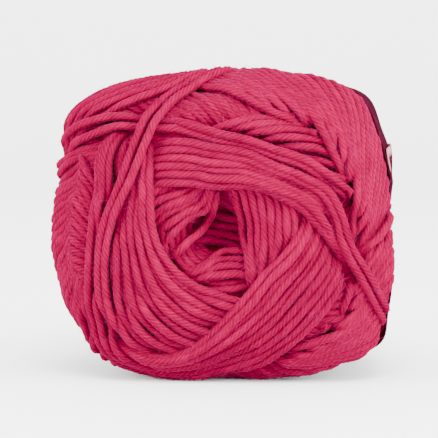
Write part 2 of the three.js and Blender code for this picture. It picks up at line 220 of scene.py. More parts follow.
backBundles = dict(count=5, strands=9, near=20.0, far=41.0, rise=(2.0, 6.5), reach=71.0,
                   start=(12, 4), narrowing=0.25)
# the lowest layer, spiralling out of the hole
groundTurns = dict(count=112, near={-1: 26.0, 1: 24.0}, reach=73.0, jitter=0.5, start=0.3, steps=60)
# a second layer on the back shoulder
crossTurns = dict(count=108, near=46.0, reach=73.0, jitter=0.5, nearJitter=0.6, level=1.5)
coil = dict(wallFrom=4, pitch=0.9, level=-0.5, steps=40)  # turns lining a feed hole
# size and length of the slow drifts along a strand
drift = dict(bundle=(0.1, 25), backBundle=(0.12, 25), rise=(0.08, 12), thickness=(0.03, 8), tint=(0.04, 10))


def mapPlace(bearing, swing):
    angle = np.radians(bearing)
    return np.stack([swing * np.cos(angle), swing * np.sin(angle)], -1)


def smoothRow(values, steps=10):
    # Catmull-Rom through the rows of a table
    values = np.asarray(values, float)
    padded = np.concatenate([2 * values[:1] - values[1:2], values, 2 * values[-1:] - values[-2:-1]])
    t = np.linspace(0, 1, steps, endpoint=False)[:, None]
    pieces = []
    for a, b, c, d in zip(padded[:-3], padded[1:-2], padded[2:-1], padded[3:]):
        square, cube = 2 * a - 5 * b + 4 * c - d, 3 * b - a - 3 * c + d
        pieces.append(0.5 * (2 * b + (c - a) * t + square * t ** 2 + cube * t ** 3))
    return np.concatenate(pieces + [values[-1:]])


# where the pile stands out: bearing, width, rise
fullness = [(132, 14, 0.9), (57, 14, 1.3), (30, 8, 0.5), (354, 13, 1.0), (317, 7, 0.7), (303, 12, 1.2),
            (217, 7, -1.2)]
fullFrom = dict(swing=44, over=14)
# layer, squeeze, thin, rest and swell are shares of a strand's diameter; deepest and most count layers
pile = dict(layer=0.85, squeeze=0.8, thin=0.36, rest=0.56, deepest=2, most=4.0, press=3, settle=8,
            swell=0.35, foot=1.7, ride=0.7, over=0.03)
# shares of a bundle's run over which its tail and head sink
sinking = dict(tailFrom=0.62, tailOver=0.3, tailPower=1.5, headOver=0.2)
strands = []  # each a dict of place (n, 2), level (n), rise (n), side and group


def addStrand(place, level, side, group, rise=0.0):
    point = formPoint(place, side)
    run = np.concatenate([[0], np.cumsum(np.linalg.norm(np.diff(point, axis=0), axis=1))])
    count = int(run[-1] / strand["step"])
    if count < 4:
        return
    at = np.linspace(0, run[-1], count)
    place = np.stack([np.interp(at, run, place[:, k]) for k in (0, 1)], -1)
    level = np.interp(at, run, level)
    rise = np.interp(at, run, np.broadcast_to(rise, len(run))) + wander(count, *drift["rise"])
    off, _ = bandDistance(formPoint(place, side))
    keep = np.flatnonzero(off > -band["tuck"])
    if len(keep) < 4:
        return
    for part in np.split(keep, np.flatnonzero(np.diff(keep) > 1) + 1):
        if len(part) > 3:
            strands.append(dict(place=place[part], level=level[part], rise=rise[part],
                                side=side, group=group))


def wander(count, size, length):
    # slow random drift along a strand
    knots = rng.normal(0, size, max(4, int(count / length) + 3))
    at = np.linspace(0, len(knots) - 1.001, count)
    share = at % 1
    share = share * share * (3 - 2 * share)
    return knots[at.astype(int)] * (1 - share) + knots[at.astype(int) + 1] * share


def layBundle(bundle, side, group):
    rows = np.array(bundle["rows"], float)
    near, far = rows[:, 0:2], rows[:, 2:4]
    # the far edge lies the short way round from the near one
    far = np.stack([near[:, 0] + (far[:, 0] - near[:, 0] + 180) % 360 - 180, far[:, 1]], -1)
    turning = bundle.get("turning", False)
    if not turning:
        near, far = mapPlace(near[:, 0], near[:, 1]), mapPlace(far[:, 0], far[:, 1])
    count = bundle["strands"]
    paths = []
    for k in range(count):
        share = (k + 0.5) / count
        spots = near + (far - near) * share
        if turning:
            spots = mapPlace(spots[:, 0], spots[:, 1])
        path = smoothRow(np.concatenate([spots, rows[:, 4:5]], 1))
        n = len(path)
        path[:, 0] += wander(n, *drift["bundle"])
        path[:, 1] += wander(n, *drift["bundle"])
        paths.append(path)
    lay = [formPoint(path[:, :2], side) for path in paths]

    def apart(k, j):
        # how far each point of one strand lies from another
        if not 0 <= j < count:
            return np.full(len(lay[k]), 9.0)
        return np.linalg.norm(lay[k][:, None] - lay[j][None], axis=2).min(axis=1)

    for k, path in enumerate(paths):
        # crowded strands ride up between their neighbours, and drop out where there is no room for them
        n = len(path)
        pitch = np.minimum(apart(k, k - 1), apart(k, k + 1))
        crowd = np.sqrt(np.maximum((pile["squeeze"] * strand["diameter"]) ** 2 - pitch ** 2, 0))
        stride = k & -k
        clear = np.minimum(apart(k, k - stride), apart(k, k + stride))
        lost = (clear < pile["thin"] * strand["diameter"]) & bool(k and turning)
        t = np.linspace(0, 1, n)
        lift = np.minimum(crowd, pile["ride"]) * (k % 2 - 0.5) * (not turning) + bundle.get("rise", 0.0)
        tail = np.clip((t - sinking["tailFrom"]) / sinking["tailOver"], 0, 1) ** sinking["tailPower"]
        head = np.clip(1 - t / sinking["headOver"], 0, 1)
        lift -= bundle.get("tail", 0.0) * tail + bundle.get("head", 0.0) * head
        kept = np.flatnonzero(~lost)
        for part in np.split(kept, np.flatnonzero(np.diff(kept) > 1) + 1):
            if len(part) > 3:
                addStrand(path[part, :2], path[part, 2], side, group, lift[part])


def turnFrom(near, swing):
    # how far round the ball a taut turn has come, from where it passes nearest the hole
    share = math.tan(math.radians(near)) / np.tan(np.radians(swing))
    return np.degrees(np.arccos(np.clip(share, -1, 1)))


def layGround(side, group):
    near, reach = groundTurns["near"][side], groundTurns["reach"]
    for k in range(groundTurns["count"]):
        start = 360 * k / groundTurns["count"] + rng.normal(0, groundTurns["jitter"])
        swing = np.linspace(near + groundTurns["start"], reach, groundTurns["steps"])
        swing = np.concatenate([[near], swing])
        turn = turnFrom(near, swing)
        addStrand(mapPlace(start - side * turn, swing), np.zeros(len(swing)), side, group)


def layCoil(side, group):
    # turns lining the feed hole, from the end face down its wall
    pit = np.array(ball["pit"][side])
    rim = ball["halfLength"] * math.tan(math.radians(groundTurns["near"][side]))
    wall = np.array([(out, depth) for out, depth in pit if out > coil["wallFrom"]] + [(rim, 0.0)])
    run = np.concatenate([[0], np.cumsum(np.hypot(np.diff(wall[:, 0]), np.diff(wall[:, 1])))])
    pitch = coil["pitch"] * strand["diameter"]
    turns = run[-1] / pitch
    t = np.linspace(0, turns, int(turns * coil["steps"]))
    out = np.interp(t * pitch, run, wall[:, 0])
    swing = np.degrees(np.arctan(out / ball["halfLength"]))
    addStrand(mapPlace(-side * 360 * t, swing), np.full(len(t), coil["level"]), side, group)


def greatTurn(middle, near, reach, steps=50):
    # one taut turn, from one edge of the end past the hole to the other
    swing = np.linspace(near, reach, steps)
    turn = turnFrom(near, swing)
    bearing = np.concatenate([middle - turn[::-1], middle + turn[1:]])
    return bearing, np.concatenate([swing[::-1], swing[1:]])


def layBack(group):
    for k in range(crossTurns["count"]):
        middle = 360 * k / crossTurns["count"] + rng.normal(0, crossTurns["jitter"])
        near = crossTurns["near"] + rng.normal(0, crossTurns["nearJitter"])
        bearing, swing = greatTurn(middle, near, crossTurns["reach"])
        half = bearing >= bearing[len(bearing) // 2]
        level = np.full(half.sum(), crossTurns["level"])
        addStrand(mapPlace(bearing[half], swing[half]), level, 1, group)
    group += 1
    low, high = backBundles["rise"]
    for k in range(backBundles["count"]):
        middle = 360 * k / backBundles["count"] + rng.normal(*backBundles["start"])
        for i in range(backBundles["strands"]):
            share = (i + 0.5) / backBundles["strands"]
            near = backBundles["near"] + (backBundles["far"] - backBundles["near"]) * share
            bearing, swing = greatTurn(0, near, backBundles["reach"])
            bearing = middle + bearing * (1 - backBundles["narrowing"] * share)
            n = len(bearing)
            place = mapPlace(bearing, swing)
            place[:, 0] += wander(n, *drift["backBundle"])
            place[:, 1] += wander(n, *drift["backBundle"])
            addStrand(place, np.linspace(low, high, n), 1, group + k)


for side in (-1, 1):
    layGround(side, 100 + side)
    layCoil(side, 110 + side)
for index, bundle in enumerate(frontBundles):
    layBundle(bundle, -1, index)
layBack(20)
print("strands laid:", len(strands), "points:", sum(len(s["place"]) for s in strands))

# One long list of points for all strands
owner = np.concatenate([np.full(len(s["place"]), i) for i, s in enumerate(strands)])
group = np.concatenate([np.full(len(s["place"]), s["group"]) for s in strands])
side = np.concatenate([np.full(len(s["place"]), s["side"]) for s in strands])
level = np.concatenate([s["level"] for s in strands])
rise = np.concatenate([s["rise"] for s in strands])
place = np.concatenate([s["place"] for s in strands])
base = np.zeros((len(place), 3))
outward = np.zeros((len(place), 3))
for end in (-1, 1):
    here = side == end
    base[here] = formPoint(place[here], end)
    outward[here] = formNormal(place[here], end)
first = np.flatnonzero(np.diff(owner, prepend=-1) != 0)
last = np.append(first[1:], len(owner)) - 1
before = np.arange(len(owner)) - 1
after = np.arange(len(owner)) + 1
before[first] = first
after[last] = last


# Height of each point: sunk by one layer for every bundle over it, the pile kept to the wound form
# and pinched under the band's edges
diameter = strand["diameter"]
lip = dict(width=3.2, rise=3.2, clearance=0.15, slack=0.3, steepest=0.3)
off, bearing = bandDistance(base)
radius = np.hypot(base[:, 0], base[:, 2] - ball["centreHeight"])
away = np.hypot(outward[:, 0], outward[:, 2])
underBand = paperRadius(bearing, 1.0) - band["thickness"] - lip["clearance"] - 0.5 * diameter
room = (underBand - radius) / np.maximum(away, lip["steepest"])
share = np.clip(off / lip["width"], 0, 1)
ceiling = np.where(off < lip["width"], room + lip["rise"] * np.sqrt(1 - (1 - share) ** 2), 99)
chart = dict(step=1.0, reach=80, around=1.5, blur=4.5, lipBlur=1.2, swellBlur=1.5, top=-0.1)
chartSize = int(2 * chart["reach"] / chart["step"]) + 1


def chartTop(spot, values, spread):
    # highest value round each node of the flat map, and where there is any
    top = np.full((chartSize, chartSize), -99.0)
    at = (spot + chart["reach"]) / chart["step"]
    cell = np.round(at).astype(int)
    n = int(math.ceil(spread / chart["step"])) + 1
    for dx in range(-n, n + 1):
        for dy in range(-n, n + 1):
            near = np.hypot(cell[:, 0] + dx - at[:, 0], cell[:, 1] + dy - at[:, 1]) < spread / chart["step"]
            np.maximum.at(top, (cell[near, 0] + dx, cell[near, 1] + dy), values[near])
    return np.where(top > -98, top, 0), top > -98


def blurred(values, known, size):
    # Gaussian blur over the known nodes only
    half = int(3 * size / chart["step"])
    kernel = np.exp(-0.5 * (np.arange(-half, half + 1) * chart["step"] / size) ** 2)

    def both(grid):
        for axis in (0, 1):
            grid = np.apply_along_axis(np.convolve, axis, grid, kernel, mode="same")
        return grid

    return both(values * known) / np.maximum(both(known.astype(float)), 1e-6)


def chartAt(grid, spot):
    at = (spot + chart["reach"]) / chart["step"]
    low = np.clip(at.astype(int), 0, chartSize - 2)
    u, v = (at - low).T
    i, j = low.T
    lower = grid[i, j] * (1 - u) + grid[i + 1, j] * u
    upper = grid[i, j + 1] * (1 - u) + grid[i + 1, j + 1] * u
    return lower * (1 - v) + upper * v


sunk = np.zeros(len(base))
layers = {}
for end in (-1, 1):
    here = np.flatnonzero(side == end)
    cell = np.round((place[here] + chart["reach"]) / chart["step"]).astype(int)
    present = np.zeros((chartSize, chartSize))
    for g in np.unique(group[here]):
        of = group[here] == g
        over, known = chartTop(place[here[of]], level[here[of]], pile["foot"])
        present += known
        higher = over[cell[:, 0], cell[:, 1]] > level[here] + pile["over"]
        above = known[cell[:, 0], cell[:, 1]] & higher & ~of
        sunk[here] += above
    layers[end] = present
sunk = np.minimum(sunk, pile["deepest"])
for _ in range(pile["press"]):
    sunk = np.maximum(sunk, np.maximum(sunk[before], sunk[after]))
for _ in range(pile["settle"]):
    sunk = 0.5 * sunk + 0.25 * (sunk[before] + sunk[after])
height = rise - pile["layer"] * diameter * sunk
for end in (-1, 1):
    here = side == end
    swell = blurred(np.minimum(layers[end], pile["most"]), layers[end] > 0, chart["swellBlur"])
    height[here] += chartAt(swell * pile["swell"] * diameter, place[here])
    top, known = chartTop(place[here], height[here], chart["around"])
    sink = blurred(top, known, chart["blur"]) - chart["top"] * diameter
    height[here] -= chartAt(sink, place[here])
    if end < 0:
        swing = np.linalg.norm(place[here], axis=1)
        full = swellAt(fullness, np.degrees(np.arctan2(place[here, 1], place[here, 0])))
        height[here] += full * np.clip((swing - fullFrom["swing"]) / fullFrom["over"], 0, 1)
    over, known = chartTop(place[here], height[here] - ceiling[here], chart["around"])
    height[here] -= chartAt(blurred(np.maximum(over, 0), known, chart["lipBlur"]), place[here])
height = np.minimum(height, np.maximum(ceiling, room) + lip["slack"])
centre = base + outward * height[:, None]
centre[:, 2] = np.maximum(centre[:, 2], pile["rest"] * diameter)
print("piled: height", round(height.min(), 2), round(height.max(), 2))

# Leave out stretches that lie wholly under others
cover = dict(step=0.55, reach=80, cells=3, foot=0.48, slack=0.45, widen=4)
size = int(2 * cover["reach"] / cover["step"])
visible = np.zeros(len(base), bool)
for end in (-1, 1):
    here = np.flatnonzero(side == end)
    cell = ((place[here] + cover["reach"]) / cover["step"]).astype(int)
    top = np.full((size, size), -99.0)
    footprint = []
    for dx in range(-cover["cells"], cover["cells"] + 1):
        for dy in range(-cover["cells"], cover["cells"] + 1):
            middle = (cell + [dx, dy] + 0.5) * cover["step"] - cover["reach"]
            apart = np.linalg.norm(formPoint(middle, end) - base[here], axis=1)
            inside = apart < cover["foot"] * diameter
            own = height[here] + np.sqrt(np.maximum(0.25 * diameter ** 2 - apart ** 2, 0))
            np.maximum.at(top, (cell[inside, 0] + dx, cell[inside, 1] + dy), own[inside])
            footprint.append((dx, dy, inside, own))
    for dx, dy, inside, own in footprint:
        shown = inside & (own > top[cell[:, 0] + dx, cell[:, 1] + dy] - cover["slack"])
        visible[here[shown]] = True
for _ in range(cover["widen"]):
    visible = visible | visible[before] | visible[after]
print("visible points:", int(visible.sum()), "of", len(visible))

# How shaded each point is: buried under its neighbours or deep in a feed hole
burial = dict(cells=4, depth=1.5, settle=6)
buried = np.zeros(len(base))
for end in (-1, 1):
    here = np.flatnonzero(side == end)
    cell = ((place[here] + cover["reach"]) / cover["step"]).astype(int)
    top = np.full((size, size), -99.0)
    for dx in range(-burial["cells"], burial["cells"] + 1):
        for dy in range(-burial["cells"], burial["cells"] + 1):
            np.maximum.at(top, (cell[:, 0] + dx, cell[:, 1] + dy), height[here])
    buried[here] = top[cell[:, 0], cell[:, 1]] - height[here]
shade = np.clip(buried / (burial["depth"] * diameter), 0, 1)
for _ in range(burial["settle"]):
    shade = 0.5 * shade + 0.25 * (shade[before] + shade[after])
hole = dict(radius=14, depths=[2.5, 7, 13], shades=[0, 0.5, 1])
depthIn = ball["halfLength"] - np.abs(base[:, 1])
nearAxis = np.hypot(base[:, 0], base[:, 2] - ball["centreHeight"]) < hole["radius"]
inHole = np.interp(depthIn, hole["depths"], hole["shades"]) * nearAxis


# colours from the crest of a strand to its depth, the crease and deep colours being painted shade in the ply
# creases and where strands lie buried, face away or sit in a feed hole; fibreSpace is how fast the fibres
# change along a strand, round it and from one strand to the next
cotton = dict(
    crest=(0.172, 0.0, 0.027, 1), crease=(0.1, 0.0, 0.0125, 1), deep=(0.095, 0.0, 0.012, 1),
    creasePower=0.7, creaseShadeStrength=(1.5, 0.15), streaks=(1.5, 0.25), fibreSpace=(0.45, 30.0, 7.0), fibreDetail=3.0,
    patchScale=260.0, patchDetail=2.0, bump=0.35, bumpDepth=0.0002, roughness=0.62,
    sheen=0.08, sheenRoughness=0.3, sheenTint=(1.0, 0.3, 0.65, 1),
)


def cottonMaterial():
    # plied cotton: crest colour with painted shade in the ply creases and where strands lie buried, face away
    # or sit deep in a feed hole, a slow drift of tone and fine fibres along the ply
    made = bpy.data.materials.new("cottonYarn")
    made.use_nodes = True
    nodes, links = made.node_tree.nodes, made.node_tree.links
    shader = nodes["Principled BSDF"]

    def node(kind, **values):
        new = nodes.new(kind)
        for key, value in values.items():
            setattr(new, key, value)
        return new

    def attribute(name):
        return node("ShaderNodeAttribute", attribute_name=name).outputs["Fac"]

    def maths(operation, first, second):
        new = node("ShaderNodeMath", operation=operation)
        for socket, value in zip(new.inputs, (first, second)):
            if isinstance(value, (int, float)):
                socket.default_value = value
            else:
                links.new(value, socket)
        return new.outputs["Value"]

    def scaled(value, gain, start):
        return maths("ADD", maths("MULTIPLY", value, gain), start)

    # fibres run along the plies, whose turn the second texture coordinate follows
    turn = node("ShaderNodeSeparateXYZ")
    links.new(node("ShaderNodeUVMap", uv_map="UVMap").outputs["UV"], turn.inputs["Vector"])
    fibreSpace = node("ShaderNodeCombineXYZ")
    sources = (attribute("run"), turn.outputs["Y"], attribute("tint"))
    for axis, source, rate in zip("XYZ", sources, cotton["fibreSpace"]):
        links.new(maths("MULTIPLY", source, rate), fibreSpace.inputs[axis])
    fibres = node("ShaderNodeTexNoise")
    fibres.inputs["Scale"].default_value = 1.0
    fibres.inputs["Detail"].default_value = cotton["fibreDetail"]
    links.new(fibreSpace.outputs["Vector"], fibres.inputs["Vector"])
    patches = node("ShaderNodeTexNoise")
    patches.inputs["Scale"].default_value = cotton["patchScale"]
    patches.inputs["Detail"].default_value = cotton["patchDetail"]
    links.new(node("ShaderNodeTexCoord").outputs["Object"], patches.inputs["Vector"])
    # painted shade in the ply creases: the crease colour, its strength made patchy by a noise
    creaseShadeStrength = scaled(patches.outputs["Fac"], *cotton["creaseShadeStrength"])
    groove = maths("MULTIPLY", maths("POWER", attribute("crease"), cotton["creasePower"]), creaseShadeStrength)
    body = node("ShaderNodeMix", data_type="RGBA")
    body.inputs["A"].default_value = cotton["crest"]
    body.inputs["B"].default_value = cotton["crease"]
    links.new(groove, body.inputs["Factor"])
    # painted shade where the shade attribute marks a strand buried, facing away or deep in a feed hole
    deep = node("ShaderNodeMix", data_type="RGBA")
    deep.inputs["B"].default_value = cotton["deep"]
    links.new(attribute("shade"), deep.inputs["Factor"])
    links.new(body.outputs["Result"], deep.inputs["A"])
    tone = node("ShaderNodeHueSaturation")
    links.new(deep.outputs["Result"], tone.inputs["Color"])
    streaks = scaled(fibres.outputs["Fac"], *cotton["streaks"])
    links.new(maths("MULTIPLY", attribute("tint"), streaks), tone.inputs["Value"])
    links.new(tone.outputs["Color"], shader.inputs["Base Color"])
    bump = node("ShaderNodeBump")
    bump.inputs["Strength"].default_value = cotton["bump"]
    bump.inputs["Distance"].default_value = cotton["bumpDepth"]
    links.new(fibres.outputs["Fac"], bump.inputs["Height"])
    links.new(bump.outputs["Normal"], shader.inputs["Normal"])
    shader.inputs["Roughness"].default_value = cotton["roughness"]
    shader.inputs["Sheen Weight"].default_value = cotton["sheen"]
    shader.inputs["Sheen Roughness"].default_value = cotton["sheenRoughness"]
    shader.inputs["Sheen Tint"].default_value = cotton["sheenTint"]
    shader.inputs["Specular IOR Level"].default_value = 0.0
    return made


def material(name, baseColor, roughness, gloss=0.5):
    made = bpy.data.materials.new(name)
    made.use_nodes = True
    shader = made.node_tree.nodes["Principled BSDF"]
    shader.inputs["Base Color"].default_value = (*baseColor, 1)
    shader.inputs["Roughness"].default_value = roughness
    shader.inputs["Specular IOR Level"].default_value = gloss
    return made


# dark coated paper, its cut edge pale
paperLook = dict(base=(0.05, 0.003, 0.011), light=(0.036, 0.0025, 0.009, 1), dark=(0.022, 0.003, 0.008, 1),
                 cutEdge=(0.30, 0.13, 0.15, 1), mottleScale=90.0, roughness=0.6)


def paperMaterial():
    made = material("bandPaper", paperLook["base"], paperLook["roughness"], 0.0)
    nodes, links = made.node_tree.nodes, made.node_tree.links
    edge = nodes.new("ShaderNodeAttribute")
    edge.attribute_name = "cutEdge"
    mottle = nodes.new("ShaderNodeTexNoise")
    mottle.inputs["Scale"].default_value = paperLook["mottleScale"]
    links.new(nodes.new("ShaderNodeTexCoord").outputs["Object"], mottle.inputs["Vector"])
    sheet = nodes.new("ShaderNodeMix")
    sheet.data_type = "RGBA"
    sheet.inputs["A"].default_value = paperLook["light"]
    sheet.inputs["B"].default_value = paperLook["dark"]
    links.new(mottle.outputs["Fac"], sheet.inputs["Factor"])
    paint = nodes.new("ShaderNodeMix")
    paint.data_type = "RGBA"
    paint.inputs["B"].default_value = paperLook["cutEdge"]
    links.new(edge.outputs["Fac"], paint.inputs["Factor"])
    links.new(sheet.outputs["Result"], paint.inputs["A"])
    links.new(paint.outputs["Result"], nodes["Principled BSDF"].inputs["Base Color"])
    return made


def plyProfile():
    # cross-section of the yarn: a round lobe for each ply
    count = strand["plies"] * 2
    curve = bpy.data.curves.new("plyProfile", "CURVE")
    curve.dimensions = "2D"
    spline = curve.splines.new("POLY")
    spline.points.add(count - 1)
    for k in range(count):
        angle = 2 * math.pi * k / count
        out = 0.5 * diameter - (strand["grooveDepth"] if k % 2 else 0)
        spline.points[k].co = (out * math.cos(angle) * mm, out * math.sin(angle) * mm, 0, 1)
    spline.use_cyclic_u = True
    made = bpy.data.objects.new("plyProfile", curve)
    bpy.context.collection.objects.link(made)
    return made


def meshFromCurve(curve):
    # mesh of a bevelled curve, which is then removed
    name = curve.name
    holder = bpy.data.objects.new(name + "Curve", curve)
    bpy.context.collection.objects.link(holder)
    mesh = bpy.data.meshes.new_from_object(holder.evaluated_get(bpy.context.evaluated_depsgraph_get()))
    mesh.name = name
    mesh.materials.clear()
    bpy.data.objects.remove(holder)
    bpy.data.curves.remove(curve)
    return mesh


def placeMesh(name, mesh, look):
    # object of a finished bmesh, smooth and with one material
    data = bpy.data.meshes.new(name)
    mesh.to_mesh(data)
    mesh.free()
    data.polygons.foreach_set("use_smooth", np.ones(len(data.polygons), bool))
    data.materials.append(look)
    made = bpy.data.objects.new(name, data)
    bpy.context.collection.objects.link(made)
    print(name, "faces:", len(data.polygons))
    return made


profile = plyProfile()
yarnMaterial = cottonMaterial()

# an end sinks under its neighbours and thins out
ending = dict(dive=[2.0, 1.3, 0.75, 0.35, 0.1], taper=[0.05, 0.75, 0.93, 1, 1])
# painted shade: flanks that face outward by less than clear are painted darker, as shade between strands; the
# shares for gaps between strands, buried points and the feed hole are how dark each painted shade may get
paintedShade = dict(clear=0.5, over=0.9, gapShade=0.45, buried=0.7, inHole=0.6)


def makeStrands(name, chosen):
    curve = bpy.data.curves.new(name, "CURVE")
    curve.dimensions = "3D"
    curve.bevel_mode = "OBJECT"
    curve.bevel_object = profile
    for run in chosen:
        spline = curve.splines.new("POLY")
        spline.points.add(len(run) - 1)
        depth = min(len(ending["dive"]), len(run) // 2)
        dive, taper = np.zeros(len(run)), np.ones(len(run))
        for order in (slice(None), slice(None, None, -1)):
            dive[order][:depth] = ending["dive"][:depth]
            taper[order][:depth] = ending["taper"][:depth]
        points = centre[run] - outward[run] * dive[:, None]
        spline.points.foreach_set("co", np.concatenate([points * mm, np.ones((len(run), 1))], 1).ravel())
        gap = np.linalg.norm(np.diff(centre[run], axis=0), axis=1)
        turned = -2 * math.pi * np.concatenate([[0], np.cumsum(gap)]) / strand["lay"] + rng.uniform(0, 6)
        spline.points.foreach_set("tilt", turned)
        thick = (1 + wander(len(run), *drift["thickness"])) * taper
        spline.points.foreach_set("radius", thick)
    mesh = meshFromCurve(curve)
    mesh.polygons.foreach_set("use_smooth", np.ones(len(mesh.polygons), bool))
    along = np.concatenate(chosen)
    around = strand["plies"] * 2
    spot = np.empty(len(mesh.vertices) * 3, np.float32)
    mesh.vertices.foreach_get("co", spot)
    arm = spot.reshape(len(along), around, 3) / mm - centre[along][:, None]
    # painted shade: flanks facing away from the outside, points buried under others and points deep in a feed
    # hole are given a darker colour
    facing = np.einsum("ijk,ik->ij", arm, outward[along]) / np.maximum(np.linalg.norm(arm, axis=2), 0.01)
    gapShade = np.clip((paintedShade["clear"] - facing) / paintedShade["over"], 0, 1)
    deep = np.maximum(paintedShade["buried"] * shade[along], paintedShade["inHole"] * inHole[along])[:, None]
    # the groove vertices of the ply profile, painted darker as shade in the ply creases
    crease = np.broadcast_to(np.arange(around) % 2, facing.shape)
    tint = [np.full(len(run), rng.normal(1, 0.05)) + wander(len(run), *drift["tint"]) for run in chosen]
    travel = [np.arange(len(run)) * strand["step"] + rng.uniform(0, 500) for run in chosen]
    tint, travel = (np.repeat(np.concatenate(value), around) for value in (tint, travel))
    values = dict(crease=crease, shade=1 - (1 - deep) * (1 - paintedShade["gapShade"] * gapShade), tint=tint, run=travel)
    for label, value in values.items():
        layer = mesh.attributes.new(label, "FLOAT", "POINT")
        layer.data.foreach_set("value", value.ravel().astype(np.float32))
    piece = bpy.data.objects.new(name, mesh)
    bpy.context.collection.objects.link(piece)
    mesh.materials.append(yarnMaterial)
    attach(piece, "root")
    print(name, "triangles:", len(mesh.polygons) * 2)
    return piece


runs = []
for a, b in zip(first, last):
    seen = np.flatnonzero(visible[a:b + 1]) + a
    if len(seen) < 4:
        continue
    for part in np.split(seen, np.flatnonzero(np.diff(seen) > 1) + 1):
        if len(part) > 3:
            runs.append(part)
mainBundles = ("outerLoop", "left", "leftUnder", "lower", "crown", "crownEdge", "joiner", "crownTop",
               "mouthTurn", "overTurns")
sorts = {name: [] for name in ("groundStrands", "mainStrands", "skirtStrands", "backStrands",
                               "backBundleStrands")}
for run in runs:
    kind = strands[owner[run[0]]]["group"]
    if kind in (99, 109):
        sorts["groundStrands"].append(run)
    elif kind >= 101 or kind == 20:
        sorts["backStrands"].append(run)
    elif kind > 20:
        sorts["backBundleStrands"].append(run)
    elif frontBundles[kind]["name"] in mainBundles:
        sorts["mainStrands"].append(run)
    else:
        sorts["skirtStrands"].append(run)
pieces = [makeStrands(name, chosen) for name, chosen in sorts.items()]
bpy.data.objects.remove(profile)

# Loose fibres standing off the strands
fuzz = dict(count=5200, length=(1.2, 3.2), rise=(0.12, 0.75), thickness=0.034, deepest=1.2, root=0.48,
            lean=1.1, sway=0.55, bend=0.35, arch=(0.6, 1.1), lowest=0.05, taper=[1, 1, 0.9, 0.7, 0.2])


def makeFuzz():
    seen = np.flatnonzero(visible & (height > -fuzz["deepest"] * diameter))
    roots = rng.choice(seen, fuzz["count"])
    curve = bpy.data.curves.new("cottonFuzz", "CURVE")
    curve.dimensions = "3D"
    curve.bevel_depth = 0.5 * fuzz["thickness"] * mm
    curve.bevel_resolution = 0
    run = centre[after] - centre[before]
    run /= np.maximum(np.linalg.norm(run, axis=1, keepdims=True), 1e-6)
    t = np.linspace(0, 1, len(fuzz["taper"]))[:, None]
    for root in roots:
        up = outward[root]
        across = np.cross(run[root], up)
        lean = rng.uniform(-fuzz["lean"], fuzz["lean"])
        start = centre[root] + fuzz["root"] * diameter * (up * math.cos(lean) + across * math.sin(lean))
        along = run[root] * rng.choice([-1, 1]) + rng.normal(0, fuzz["sway"], 3)
        along -= up * along.dot(up)
        along /= np.linalg.norm(along)
        length, rise = rng.uniform(*fuzz["length"]), rng.uniform(*fuzz["rise"]) * rng.uniform(0.3, 1)
        bend = across * rng.normal(0, fuzz["bend"])
        arch = np.sin(math.pi * t * rng.uniform(*fuzz["arch"]))
        line = start + along * length * t + up * rise * arch + bend * t * t
        line[:, 2] = np.maximum(line[:, 2], fuzz["lowest"])
        spline = curve.splines.new("POLY")
        spline.points.add(len(t) - 1)
        spline.points.foreach_set("co", np.concatenate([line * mm, np.ones((len(t), 1))], 1).ravel())
        spline.points.foreach_set("radius", np.array(fuzz["taper"]))
    mesh = meshFromCurve(curve)
    piece = bpy.data.objects.new("cottonFuzz", mesh)
    bpy.context.collection.objects.link(piece)
    mesh.materials.append(material("looseFibre", (0.27, 0.012, 0.09), 0.8, 0.0))
    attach(piece, "root")
    print("cottonFuzz triangles:", sum(len(p.vertices) - 2 for p in mesh.polygons))


makeFuzz()

# Closed core under the strands, so that nothing shows through between them
core = dict(depth=-2.15, rings=120, steps=90, pole=14, slack=0.22, underFrom=1.0, underOver=3.0, lowest=0.4)
mesh = bmesh.new()
bmesh.ops.create_uvsphere(mesh, u_segments=core["rings"], v_segments=core["steps"], radius=1)
verts = list(mesh.verts)
direction = np.array([v.co for v in verts])
angle = np.degrees(np.arctan2(direction[:, 1], direction[:, 0]))
polar = np.degrees(np.arccos(np.clip(np.abs(direction[:, 2]), 0, 1)))
for v, turn, swing, end in zip(verts, angle, polar, np.where(direction[:, 2] > 0, -1, 1)):
    spot = mapPlace(turn, max(swing, 0.5))
    inward = formNormal(spot, end) * core["depth"] * diameter * min(1, swing / core["pole"])
    point = formPoint(spot, end) + inward
    off, bearing = bandDistance(point)
    radius = math.hypot(point[0], point[2] - ball["centreHeight"])
    under = np.clip((core["underFrom"] - off) / core["underOver"], 0, 1)
    reach = float(paperRadius(bearing, 1 + min(off, 0) / band["halfWidth"])) - core["slack"]
    grow = 1 + (reach - radius) / radius * under
    point[[0, 2]] = [point[0] * grow, ball["centreHeight"] + (point[2] - ball["centreHeight"]) * grow]
    point[2] = max(point[2], core["lowest"])
    v.co = point * mm
bmesh.ops.recalc_face_normals(mesh, faces=mesh.faces)
# the core is coloured darker than the strands' crest: painted shade for the yarn lying under them
woundCore = placeMesh("woundCore", mesh, material("shadedInnerYarn", (0.1, 0.0, 0.009), 0.9, 0.0))
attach(woundCore, "root")

